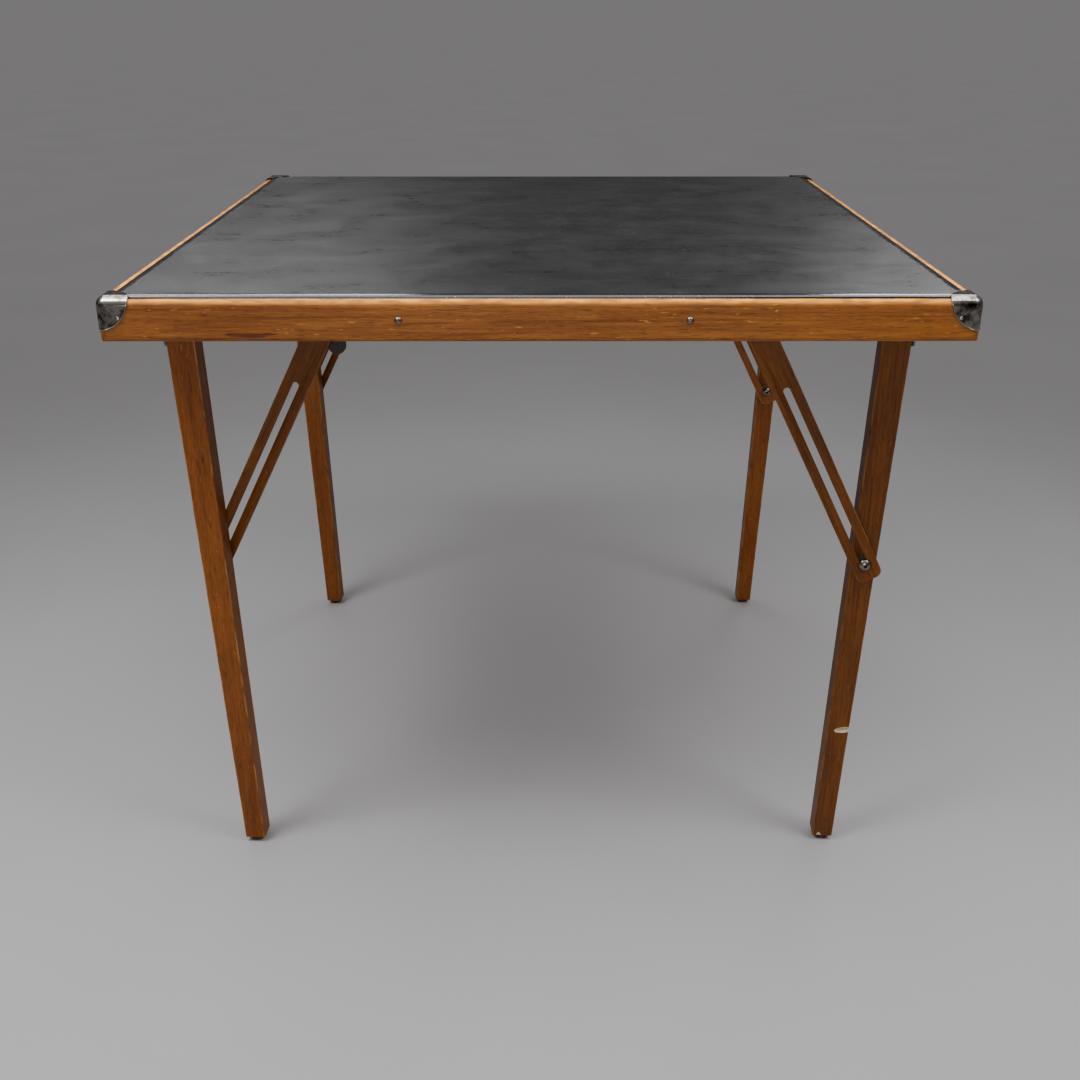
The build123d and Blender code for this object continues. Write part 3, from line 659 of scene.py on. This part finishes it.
def unit_screw(name, radius, height, shank, length, crossed):
    """Domed screw with its head on the XY plane, with a rolled lower edge, a blunt tip and, where
    it is crossed, a cross recess."""
    dome_steps, sides = 8, 32
    dome = (radius * radius + height * height) / (2 * height)
    full = math.asin(min(1.0, radius / dome))
    outline = [(0.0, -length), (shank * 0.5, -length), (shank, -length + shank), (shank, 0.0),
               (radius * 0.96, 0.0)]
    outline += [(dome * math.sin(angle), height - dome + dome * math.cos(angle))
                for angle in (full * k / dome_steps for k in range(dome_steps, -1, -1))]
    screw = link(name, mesh_of(name, turned_on_z(outline, sides)))
    if crossed:
        # Two crossed wedges, narrow at the foot of the recess and wide at its mouth above the head
        foot, mouth, width = radius * 0.35, radius, radius * 0.17
        floor, above = height * 0.55, height * 1.5
        cut = bmesh.new()
        for turn in (0, QUARTER):
            wedge = bmesh.ops.create_cube(cut, size=1)["verts"]
            for v in wedge:
                low = v.co.z < 0
                v.co.x *= foot if low else mouth
                v.co.y *= width
                v.co.z = floor if low else above
            bmesh.ops.rotate(cut, verts=wedge, matrix=Matrix.Rotation(turn, 3, "Z"))
        cut_away(screw, link("recess", mesh_of("recess", cut)), own_skin=True)
        # The cut leaves slivers of no area where the wedges meet the dome
        clean = bmesh.new()
        clean.from_mesh(screw.data)
        bmesh.ops.dissolve_degenerate(clean, dist=0.004 * MM, edges=clean.edges)
        bmesh.ops.triangulate(clean, faces=[f for f in clean.faces if len(f.verts) > 4])
        clean.to_mesh(screw.data)
        clean.free()
    return screw


def screws_tree():
    """Geometry tree that stands a screw on each mark with its head along the mark's aim, each
    turned at random by the seed."""
    tree = bpy.data.node_groups.new("screws on marks", "GeometryNodeTree")
    for name, kind in (("Marks", "Geometry"), ("Screw", "Object"), ("Finish", "Material"),
                       ("Turn seed", "Int")):
        tree.interface.new_socket(name, in_out="INPUT", socket_type=f"NodeSocket{kind}")
    tree.interface.new_socket("Screws", in_out="OUTPUT", socket_type="NodeSocketGeometry")
    given = add(tree, "NodeGroupInput").outputs
    aim = add(tree, "GeometryNodeInputNamedAttribute", {"Name": "aim"}, data_type="FLOAT_VECTOR")
    stand = add(tree, "FunctionNodeAlignRotationToVector", {"Vector": aim}, axis="Z")
    turn = add(tree, "FunctionNodeRandomValue",
               {"Min": 0.0, "Max": math.tau, "Seed": given["Turn seed"]})
    spin = add(tree, "FunctionNodeAxisAngleToRotation", {"Axis": (0, 0, 1), "Angle": turn})
    turned = add(tree, "FunctionNodeRotateRotation", {"Rotation": stand, "Rotate By": spin},
                 rotation_space="LOCAL")
    shape = add(tree, "GeometryNodeObjectInfo", {"Object": given["Screw"]})
    placed = add(tree, "GeometryNodeInstanceOnPoints",
                 {"Points": given["Marks"], "Instance": shape.outputs["Geometry"],
                  "Rotation": turned})
    real = add(tree, "GeometryNodeRealizeInstances", {"Geometry": placed})
    painted = add(tree, "GeometryNodeSetMaterial", {"Geometry": real, "Material": given["Finish"]})
    add(tree, "NodeGroupOutput", {"Screws": painted})
    return tree


screw_tree = screws_tree()


def detailed_screws(node, name, material, slot, crossed, seed):
    """Replaces a CAD node's plain fasteners by detailed ones on the same seats."""
    marks, sizes = fasteners(node)
    screw = unit_screw(f"one of {name}", *sizes, crossed)
    mesh = bpy.data.meshes.new(name)
    mesh.from_pydata([seat for seat, _ in marks], [], [])
    aims = mesh.attributes.new("aim", "FLOAT_VECTOR", "POINT")
    for spot, (_, aim) in zip(aims.data, marks):
        spot.vector = aim
    holder = link(f"{name} marks", mesh)
    grown = holder.modifiers.new("screws", "NODES")
    grown.node_group = screw_tree
    chosen = {"Screw": screw, "Finish": material, "Turn seed": seed}
    for socket in screw_tree.interface.items_tree:
        if socket.name in chosen:
            grown[socket.identifier] = chosen[socket.name]
    made = settled(holder)
    bpy.data.objects.remove(holder)
    bpy.data.objects.remove(screw)
    made.name = name
    made.shade_smooth()
    made.set_sharp_from_angle(angle=math.radians(40))
    finish_piece(link(name, made), "tabletop", slot, node)


detailed_screws("rail_screws", "round_head_screws", dull_nickel, "nickel", crossed=True, seed=3)
detailed_screws("cap_nails", "cap_pins", nickel, "nickel", crossed=False, seed=5)
detailed_screws("bracket_screws", "hinge_screws", zinc, "steel", crossed=True, seed=7)
detailed_screws("hanger_screws", "flange_screws", zinc, "steel", crossed=True, seed=11)


# ---------------------------------------------------------------- camera, floor and light
def photo_camera():
    """Camera fitted to the photograph by the outline of the top and the places of the feet."""
    looks_down, looks_aside = 23.931, -0.074            # degrees
    data = bpy.data.cameras.new("camera")
    data.sensor_width = 36
    data.lens = 41.46
    data.clip_end = 500
    camera = link("camera", data)
    camera.location = (-1.2 * MM, -1626.1 * MM, 984.7 * MM)
    camera.rotation_euler = (math.radians(90 - looks_down), 0, math.radians(looks_aside))
    bpy.context.scene.camera = camera


def studio_floor():
    """Pale floor, wider than any view of the table reaches."""
    pale, paler = "#A9A8A8", "#B3B2B2"
    shape = bmesh.new()
    bmesh.ops.create_grid(shape, x_segments=8, y_segments=8, size=200)
    material, tree, place = new_material("painted_floor", pale)
    mottle = add(tree, "ShaderNodeTexNoise", {"Vector": place, "Scale": 2.2, "Detail": 6.0})
    look = add(tree, "ShaderNodeMix", {"Factor": mottle, "A": linear(pale), "B": linear(paler)},
               data_type="RGBA")
    finish_material(tree, mottle, 0.1 * MM, {"Base Color": look, "Roughness": 0.8})
    link("studio_floor", mesh_of("studio_floor", shape, material))


def soft_box(name, place, aim, width, height, watts, spread):
    """Soft box at a place, facing a point."""
    data = bpy.data.lights.new(name, "AREA")
    data.shape = "RECTANGLE"
    data.size, data.size_y = width, height
    data.energy = watts
    data.spread = math.radians(spread)
    lamp = link(name, data)
    lamp.location = place
    lamp.rotation_euler = (Vector(aim) - Vector(place)).to_track_quat("-Z", "Y").to_euler()


def studio_sky():
    """Even grey light from all round, paler from above."""
    world = bpy.data.worlds.new("studio")
    world.use_nodes = True
    tree = world.node_tree
    tree.nodes.clear()
    heading = add(tree, "ShaderNodeTexCoord").outputs["Generated"]
    upward = add(tree, "ShaderNodeSeparateXYZ", {"Vector": heading}).outputs["Z"]
    lift = add(tree, "ShaderNodeMapRange", {"Value": upward, "From Min": 0.25})
    round_about, above = linear("#504E4F"), linear("#D8D6D7")
    glow = add(tree, "ShaderNodeMix", {"Factor": lift, "A": round_about, "B": above},
               data_type="RGBA")
    backdrop = add(tree, "ShaderNodeBackground", {"Color": glow})
    add(tree, "ShaderNodeOutputWorld", {"Surface": backdrop})
    bpy.context.scene.world = world


photo_camera()
studio_floor()
studio_sky()
# Place, aim, width and height in metres, watts, spread in degrees
soft_box("key", (-1.4, -1.1, 2.5), (-0.5, -0.6, 0), 1.0, 1.0, 6.2, 70)
soft_box("fill", (1.5, -1.0, 2.4), (0.5, -0.6, 0), 0.9, 0.8, 3.7, 70)
soft_box("overhead", (0, -0.3, 1.45), (0, -0.45, 0), 1.6, 0.8, 8.5, 140)
soft_box("front", (-0.2, -2.4, 1.0), (0.1, 0, 0.7), 1.4, 0.6, 1.5, 50)
soft_box("back_left", (-1.2, 2.6, 2.3), (-0.3, -0.3, 0.7), 1.5, 0.6, 1.6, 60)
soft_box("back_right", (1.6, 2.6, 2.3), (0.3, -0.3, 0.7), 1.1, 0.6, 1.8, 60)

bpy.context.view_layer.update()
